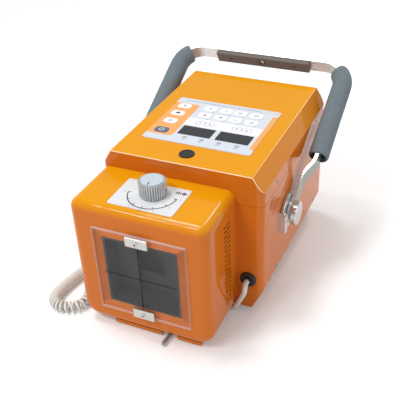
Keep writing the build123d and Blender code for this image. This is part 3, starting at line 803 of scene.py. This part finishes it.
def barLine(x0, y0, x1, y1, width):
    along = Vector((x1 - x0, y1 - y0)).normalized() * width / 2
    return [(x0 + along.y, y0 - along.x), (x1 + along.y, y1 - along.x),
            (x1 - along.y, y1 + along.x), (x0 - along.y, y0 + along.x)]


def arcLine(x, y, radius, width, first, last, steps):
    angles = [math.radians(first + (last - first) * i / steps) for i in range(steps + 1)]
    outer = [(x + (radius + width / 2) * math.cos(a), y + (radius + width / 2) * math.sin(a)) for a in angles]
    inner = [(x + (radius - width / 2) * math.cos(a), y + (radius - width / 2) * math.sin(a)) for a in angles]
    return outer + inner[::-1]


def roundBox(x0, y0, x1, y1, radii):
    # corner radii from the low left, against the clock
    corners = ((x0, y0, 180, 1, 1), (x1, y0, 270, -1, 1), (x1, y1, 0, -1, -1), (x0, y1, 90, 1, -1))
    points = []
    for (x, y, start, towardX, towardY), radius in zip(corners, radii):
        if radius == 0:
            points.append((x, y))
            continue
        for step in range(7):
            angle = math.radians(start + 15 * step)
            points.append((x + towardX * radius + radius * math.cos(angle),
                           y + towardY * radius + radius * math.sin(angle)))
    return points


def disc(x, y, radius, steps=20):
    return [(x + radius * math.cos(2 * math.pi * i / steps), y + radius * math.sin(2 * math.pi * i / steps))
            for i in range(steps)]


def outlined(x0, y0, x1, y1, radius, width):
    # an empty rounded box: its outer outline and its hole
    inner = max(radius - width, 0.1)
    return [roundBox(x0, y0, x1, y1, (radius,) * 4),
            roundBox(x0 + width, y0 + width, x1 - width, y1 - width, (inner,) * 4)]


printRise = 0.06
bandRise = 0.05


def printed(name, outlines, level, rise=printRise):
    # outlines and rise in millimetres, the level plane's height in metres
    deselectAll()
    curve = bpy.data.curves.new(name, "CURVE")
    curve.dimensions = "2D"
    curve.fill_mode = "BOTH"
    curve.extrude = rise * mm / 2
    for outline in outlines:
        spline = curve.splines.new("POLY")
        spline.points.add(len(outline) - 1)
        for spot, (x, y) in zip(spline.points, outline):
            spot.co = (x * mm, y * mm, 0, 1)
        spline.use_cyclic_u = True
    obj = bpy.data.objects.new(name, curve)
    bpy.context.scene.collection.objects.link(obj)
    obj.location = (0, 0, level + rise * mm / 2)
    pick(obj)
    bpy.ops.object.convert(target="MESH")
    obj = bpy.context.object
    settle(obj)
    return obj


# Print of the control panel, in millimetres from the middle and from the case's front edge

panelSet = {
    "leftStrip": (-68.4, 54.6, -35.0, 139.5),
    "rightStrip": (62.3, 54.2, 68.4, 139.0),
    "whiteBand": (-35.0, 86.0, 62.0, 105.0),
    "rule": (-58.0, 147.2, 46.0, 147.2),
    "ruleEnd": (49.0, 147.6, 66.5, 147.6),
    "ruleEndLine": 1.2,
    "line": 0.8,
    "displayMarks": (-18.4, 2.9, 24.9, 47.1),
    "displayMarksAt": 55.2,
    "boldLine": 1.3,
    "keyColumns": (-18.5, 2.5, 21.5, 42.5),
    "keyRows": (133.6, 115.0),
    "keySigns": ("plus", "minus", "ring", "box", "up", "down", "dots", "stairs"),
    "signLine": 0.75,
    "keyDash": (5.2, 7.6, -7.6),
    "sideColumn": -53.0,
    "sideKeys": (("stand", 130.9), ("cloud", 110.1), ("box", 88.9)),
    "powerAt": 64.5,
    "powerRing": 3.0,
    "rockers": (-9.6, 38.0),
    "rockersAt": 95.5,
    "rockerShift": 6.4,
    "rockerHalf": (6.0, 5.2),
    "rockerRound": 4.6,
    "rockerLine": 0.5,
}


def fromFront(y):
    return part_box("case_lid")[0].y / mm + y


def onPanel(name):
    x0, y0, x1, y1 = panelSet[name]
    return x0, fromFront(y0), x1, fromFront(y1)


def keyMark(kind, x, y):
    # small signs on the keys, made of strokes
    line = panelSet["signLine"]
    if kind == "plus":
        return [barLine(x - 2, y, x + 2, y, line), barLine(x, y + 0.4, x, y + 2, line),
                barLine(x, y - 2, x, y - 0.4, line)]
    if kind == "minus":
        return [barLine(x - 2, y, x + 2, y, line)]
    if kind == "ring":
        return [disc(x, y, 2.2), disc(x, y, 1.5)]
    if kind == "up":
        return [[(x - 2.1, y - 1.6), (x + 2.1, y - 1.6), (x, y + 2)]]
    if kind == "down":
        return [[(x + 2.1, y + 1.6), (x - 2.1, y + 1.6), (x, y - 2)]]
    if kind == "dots":
        return [disc(x + shift, y, 0.65) for shift in (-1.9, 0, 1.9)]
    if kind == "stairs":
        return [barLine(x + shift, y - 1.9, x + shift, y + top, line)
                for shift, top in ((-1.9, -0.6), (-0.6, 0.4), (0.7, 1.3), (2.0, 2.2))]
    if kind == "stand":
        return [disc(x, y + 2, 0.8), barLine(x, y + 1, x, y - 2.2, line), barLine(x - 1.8, y, x - 0.5, y, line),
                barLine(x + 0.5, y, x + 1.8, y, line)]
    if kind == "cloud":
        return [roundBox(x - 3, y - 1.4, x + 3, y + 1.1, (1.2,) * 4), arcLine(x, y + 1.2, 0.9, 1.6, 5, 175, 8)]
    return outlined(x - 2.4, y - 2, x + 2.4, y + 2, 0.5, 0.6)


def printFields(level):
    # the orange strips and the white band behind the rockers
    strips = [roundBox(*onPanel("leftStrip"), (0, 6, 6, 0)), roundBox(*onPanel("rightStrip"), (4, 0, 0, 0)),
              barLine(*onPanel("ruleEnd"), panelSet["ruleEndLine"])]
    place(printed("panelStrips", strips, level), "case", "strip_orange")
    band = [roundBox(*onPanel("whiteBand"), (0, 0, 0, 0))]
    place(printed("panelBand", band, level, bandRise), "case", "white_key")


def printMarks(level):
    # the rule at the rear, four lamp signs in front of the displays and a dash beside each key
    line, bold = panelSet["line"], panelSet["boldLine"]
    marks = [barLine(*onPanel("rule"), line)]
    y = fromFront(panelSet["displayMarksAt"])
    for x in panelSet["displayMarks"]:
        marks += [arcLine(x, y, 2.6, bold, 20, 160, 8), barLine(x - 2.0, y - 0.4, x + 2.0, y - 0.4, bold),
                  barLine(x - 3.0, y - 3.6, x + 1.5, y - 3.6, line)]
    start, end, down = panelSet["keyDash"]
    for x in panelSet["keyColumns"]:
        for row in panelSet["keyRows"]:
            marks.append(barLine(x + start, fromFront(row + down), x + end, fromFront(row + down), line))
    place(printed("panelMarks", marks, level), "case", "print_grey")


def printRockers(level):
    # two pairs of outlined fields, each with its arrow
    arrows = []
    y = fromFront(panelSet["rockersAt"])
    halfX, halfY = panelSet["rockerHalf"]
    for x in panelSet["rockers"]:
        for side in (-1, 1):
            centre = x + side * panelSet["rockerShift"]
            arrows += outlined(centre - halfX, y - halfY, centre + halfX, y + halfY, panelSet["rockerRound"],
                               panelSet["rockerLine"])
            arrows.append([(centre - 1.9, y - side * 1.3), (centre + 1.9, y - side * 1.3), (centre, y + side * 1.7)])
    place(printed("panelArrows", arrows, level + bandRise * mm), "case", "print_grey")


def printSigns():
    signs = []
    kinds = iter(panelSet["keySigns"])
    for row in panelSet["keyRows"]:
        for x in panelSet["keyColumns"]:
            signs += keyMark(next(kinds), x, fromFront(row))
    for kind, row in panelSet["sideKeys"]:
        signs += keyMark(kind, panelSet["sideColumn"], fromFront(row))
    place(printed("keySigns", signs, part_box("panel_keys")[1].z), "case", "print_dark")
    x, y, radius = panelSet["sideColumn"], fromFront(panelSet["powerAt"]), panelSet["powerRing"]
    power = [arcLine(x, y, radius, panelSet["line"], 115, 425, 20),
             barLine(x, y + 0.2 * radius, x, y + 1.4 * radius, panelSet["line"])]
    place(printed("powerSign", power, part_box("power_key")[1].z), "case", "white_key")


def makePanelPrint():
    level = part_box("control_panel")[1].z
    printFields(level)
    printMarks(level)
    printRockers(level)
    printSigns()


# Rim of the badge, which is bare inside

badgeSet = {
    "inset": 0.2 * mm,
    "rim": 0.9 * mm,
    "rise": 0.35 * mm,
}


def makeBadgeRim():
    low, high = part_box("badge_disc")
    outer = (high.x - low.x) / 2 - badgeSet["inset"]
    inner, rise = outer - badgeSet["rim"], badgeSet["rise"]
    rim = turned("badgeRim", [(outer, -rise), (outer, rise * 0.6), (outer - rise * 0.4, rise), (inner, rise),
                              (inner, -rise), (outer, -rise)], 64, tube=True)
    rim.location = ((low.x + high.x) / 2, (low.y + high.y) / 2, high.z)
    settle(rim)
    smooth(rim)
    place(rim, "case", "black_plastic")


# Print of the scale plate, and the marks of its knob

dialSet = {
    "radius": 28.5,
    "line": 1.25,
    "ticks": (188, 218, 244, 270, 296, 328, 360),
    "tick": 3.4,
    "tickLap": 0.55,
    "tickLine": 0.9,
    "numberOut": 32.8,
    "numberSize": 3.6,
    "digits": "0123456",
    "signs": ((25.2, "narrow"), (32.0, "wide")),
    "signUp": 12.0,
    "signHalf": 2.9,
    "signLine": 1.3,
    "arrow": (1.0, 3.1, 2.3),
}


def around(centre, radius, degrees):
    return (centre.x + radius * math.cos(math.radians(degrees)), centre.y + radius * math.sin(math.radians(degrees)))


def makeDialMarks(centre, level):
    radius, ticks = dialSet["radius"], dialSet["ticks"]
    marks = [arcLine(centre.x, centre.y, radius, dialSet["line"], ticks[0], ticks[-1], 60)]
    for tick in ticks:
        marks.append(barLine(*around(centre, radius - dialSet["tick"], tick),
                             *around(centre, radius - dialSet["tickLap"], tick), dialSet["tickLine"]))
    half, (near, far, wing) = dialSet["signHalf"], dialSet["arrow"]
    for shift, field in dialSet["signs"]:
        # two bold signs beside the knob: a bar with an arrow on each side, for a narrow and a wide field
        x, y = centre.x + shift, centre.y + dialSet["signUp"]
        marks.append(barLine(x, y - half, x, y + half, dialSet["signLine"]))
        tip, foot = (near, far) if field == "narrow" else (far, near)
        for side in (-1, 1):
            marks.append([(x + side * tip, y), (x + side * foot, y + wing), (x + side * foot, y - wing)])
    place(printed("dialPrint", marks, level), "case", "print_dark")


def makeDialNumbers(centre, level):
    numbers = []
    for digit, tick in zip(dialSet["digits"], dialSet["ticks"]):
        x, y = around(centre, dialSet["numberOut"], tick)
        deselectAll()
        bpy.ops.object.text_add(location=(x * mm, y * mm, level))
        text = bpy.context.object
        text.data.body = digit
        text.data.size = dialSet["numberSize"] * mm
        text.data.extrude = printRise * mm / 2
        text.data.resolution_u = 3
        text.data.align_x = "CENTER"
        text.data.align_y = "CENTER"
        bpy.ops.object.convert(target="MESH")
        number = bpy.context.object
        settle(number)
        numbers.append(number)
    place(joinPieces(numbers, "dialNumbers"), "case", "print_grey")


knobSet = {
    "pointer": (6.2, 11.2),
    "pointerLine": 1.3,
    "setScrewAt": 8,
    "setScrewUp": 8 * mm,
    "setScrewProfile": ((1.5 * mm, -0.6 * mm), (1.5 * mm, 0.1 * mm), (1.1 * mm, 0.2 * mm)),
}


def makeKnobMarks():
    # the pointer printed on the cap, and the set screw in the knob's side
    centre = middle("field_knob")
    start, end = (centre.y / mm - out for out in knobSet["pointer"])
    pointer = [barLine(centre.x / mm, end, centre.x / mm, start, knobSet["pointerLine"])]
    place(printed("knobPointer", pointer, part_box("field_knob_cap")[1].z), "case", "print_dark")
    low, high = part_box("field_knob")
    screw = turned("knobSetScrew", knobSet["setScrewProfile"], 20)
    screw.rotation_euler = (0, math.radians(90), math.radians(knobSet["setScrewAt"]))
    x, y = around(centre, (high.x - low.x) / 2, knobSet["setScrewAt"])
    screw.location = (x, y, low.z + knobSet["setScrewUp"])
    settle(screw)
    smooth(screw)
    place(screw, "case", "black_plastic")


makePanelPrint()
makeBadgeRim()
makeDialMarks(middle("field_knob") / mm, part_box("dial_plate")[1].z)
makeDialNumbers(middle("field_knob") / mm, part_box("dial_plate")[1].z)
makeKnobMarks()
say("panel, badge and dial printed")


# Screws

screwSet = {
    # radius and height
    "clip": (3.0 * mm, 1.6 * mm),
    "rear": (2.6 * mm, 1.4 * mm),
    "foot": (3.2 * mm, 1.5 * mm),
    # each arm of the black cross, painted shade of a cross recess: length and width by the head's radius, bottom and
    # top by its height
    "cross": (1.045, 0.33, 0.96, 1.02),
    "sink": 0.4 * mm,
    "rearInset": 5 * mm,
    "inletEar": 4.4 * mm,
    "sideInset": 3 * mm,
    "socket": ((2.1 * mm, -0.3 * mm), (2.1 * mm, 0.03 * mm)),
    "footInset": 9 * mm,
    "footUp": 2.6 * mm,
}


def domeScrew(name, radius, height, at, way):
    # low dome with a black cross on top, painted shade of a cross recess, its foot at the given place
    head = turned(name, [(radius, -screwSet["sink"]), (radius, height * 0.35), (radius * 0.86, height * 0.75),
                         (radius * 0.55, height)], 32)
    long, wide, bottom, top = screwSet["cross"]
    arms = []
    for x, y in ((long, wide), (wide, long)):
        arms.append(slab(name + "Arm", (-radius * x / 2, -radius * y / 2, height * bottom),
                         (radius * x / 2, radius * y / 2, height * top)))
    cross = joinPieces(arms, name + "Cross")
    for piece in (head, cross):
        piece.rotation_euler = Vector(way).to_track_quat("Z", "Y").to_euler()
        piece.location = at
        settle(piece)
    smooth(head, 50)
    return head, cross


def placeScrews(name, kind, spots, way):
    heads, recessShades = [], []
    for number, spot in enumerate(spots):
        head, cross = domeScrew(f"{name}{number}", *screwSet[kind], spot, way)
        heads.append(head)
        recessShades.append(cross)
    place(joinPieces(heads, name), "case", "bright_steel")
    # painted shade: the black crosses stand in for the shade in the cross recesses, which are not cut
    place(joinPieces(recessShades, name + "RecessShades"), "case", "black_plastic")


def ends(low, high, inset):
    return low + inset, high - inset


def makeClipScrews():
    spots = []
    for node in ("window_clip_top", "window_clip_bottom"):
        spots.append((middle(node).x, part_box(node)[0].y, middle(node).z))
    placeScrews("clipScrews", "clip", spots, (0, -1, 0))


def makeRearScrews():
    low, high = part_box("rear_panel")
    spots = [(x, high.y, z) for x in ends(low.x, high.x, screwSet["rearInset"])
             for z in ends(low.z, high.z, screwSet["rearInset"])]
    low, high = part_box("mains_inlet")
    spots += [(x, high.y, (low.z + high.z) / 2) for x in ends(low.x, high.x, screwSet["inletEar"])]
    placeScrews("rearScrews", "rear", spots, (0, 1, 0))


def makeSideSocketShades():
    # black six-sided discs on the heads of the screws that close the case, painted shade of their sockets, which are
    # not cut
    low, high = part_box("side_screws")
    socketShades = []
    for side, x in ((-1, low.x), (1, high.x)):
        for y in ends(low.y, high.y, screwSet["sideInset"]):
            for z in ends(low.z, high.z, screwSet["sideInset"]):
                socket = turned("socket", screwSet["socket"], 6)
                socket.rotation_euler = (0, math.radians(90 * side), 0)
                socket.location = (x, y, z)
                settle(socket)
                socketShades.append(socket)
    place(joinPieces(socketShades, "sideScrewSocketShades"), "case", "black_plastic")


def makeFootScrews():
    low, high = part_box("rubber_feet")
    spots = [(x, y, low.z + screwSet["footUp"]) for x in ends(low.x, high.x, screwSet["footInset"])
             for y in ends(low.y, high.y, screwSet["footInset"])]
    placeScrews("footScrews", "foot", spots, (0, 0, -1))


makeClipScrews()
makeRearScrews()
makeSideSocketShades()
makeFootScrews()
say("screws set")


# Ribs of the sleeve where the lead turns curly

sleeveSet = {
    "up": 4.9 * mm,
    "across": 4.4 * mm,
    "thick": 0.5 * mm,
    "places": (0.12, 0.3, 0.48, 0.66, 0.84),
}


def makeSleeveRibs():
    start, end = Vector(leadRoute[-1]), Vector(curlRoute[0])
    start.z = end.z = sleeveSet["up"]
    way = end - start
    ribs = []
    for share in sleeveSet["places"]:
        bpy.ops.mesh.primitive_torus_add(major_radius=sleeveSet["across"], minor_radius=sleeveSet["thick"],
                                         major_segments=40, minor_segments=10, location=(0, 0, 0))
        rib = bpy.context.object
        rib.rotation_euler = way.to_track_quat("Z", "Y").to_euler()
        rib.location = start + way * share
        settle(rib)
        smooth(rib, 60)
        ribs.append(rib)
    place(joinPieces(ribs, "sleeveRibs"), "case", "cord_cream")


makeSleeveRibs()
say("sleeve ribbed")


# Floor, backdrop and lights

studio = {
    # the floor's finish, then the world's strength and the room's sizes in metres
    "color": (0.90, 0.90, 0.90),
    "rough": 0.9,
    "specular": 0.1,
    "floorLift": 0.14,
    "sky": 0.44,
    "radius": 6.0,
    "wall": 2.4,
    "cove": 1.5,
}

lamps = {
    # power, spread in degrees, where it shines from
    "softKey": (1.05, 16, (-0.36, 0.05, 1.1)),
}

strips = {
    # power, width and length, where it hangs
    "frontStrip": (9.5, 0.75, 0.045, (-0.50, -0.95, 1.38)),
    "backStrip": (4.5, 0.12, 0.7, (0.25, 1.15, 1.1)),
    "sideStrip": (1.2, 0.5, 0.9, (1.3, 0.1, 0.45)),
}


def rayMask(tree):
    # 1 for rays from the eye, off gloss and through glass
    rays = tree.nodes.new("ShaderNodeLightPath").outputs
    seen = mathNode(tree, "MAXIMUM", rays["Is Camera Ray"], rays["Is Glossy Ray"])
    return mathNode(tree, "MAXIMUM", seen, rays["Is Transmission Ray"])


def makeStage():
    # a round floor whose edge curves up into a low wall
    flat, cove = studio["radius"] - studio["cove"], studio["cove"]
    bend = [(flat + cove * math.sin(angle), cove * (1 - math.cos(angle)))
            for angle in (math.radians(10 * step) for step in range(10))]
    wall = turned("studioWall", bend + [(studio["radius"], studio["wall"])], 96, tube=True)
    bpy.ops.mesh.primitive_circle_add(vertices=96, radius=flat, fill_type="NGON", location=(0, 0, 0))
    floor = joinPieces([bpy.context.object, wall], "studioFloor")
    smooth(floor, 60)
    material, tree, shader = startMaterial("paleFloor", studio)
    shader.inputs["Roughness"].default_value = studio["rough"]
    shader.inputs["Emission Color"].default_value = (1, 1, 1, 1)
    lift = mathNode(tree, "MULTIPLY", rayMask(tree), studio["floorLift"])
    tree.links.new(lift, shader.inputs["Emission Strength"])
    floor.data.materials.append(material)


def makeWorld():
    world = bpy.data.worlds.new("studioWorld")
    bpy.context.scene.world = world
    world.use_nodes = True
    background = world.node_tree.nodes["Background"]
    background.inputs["Color"].default_value = (1, 1, 1, 1)
    background.inputs["Strength"].default_value = studio["sky"]


def makeLamps():
    for name, (power, spread, source) in lamps.items():
        bpy.ops.object.light_add(type="SUN", location=source)
        lamp = bpy.context.object
        lamp.name = name
        lamp.data.energy = power
        lamp.data.angle = math.radians(spread)
        lamp.rotation_euler = Vector(source).to_track_quat("Z", "Y").to_euler()
    for name, (power, width, length, source) in strips.items():
        bpy.ops.object.light_add(type="AREA", location=source)
        lamp = bpy.context.object
        lamp.name = name
        lamp.data.energy = power
        lamp.data.shape = "RECTANGLE"
        lamp.data.size = width
        lamp.data.size_y = length
        lamp.visible_camera = False
        lamp.rotation_euler = (Vector(source) - middle("case_tub")).to_track_quat("Z", "Y").to_euler()


makeStage()
makeWorld()
makeLamps()
bpy.context.scene.view_settings.view_transform = "Standard"
say("stage and lights ready")
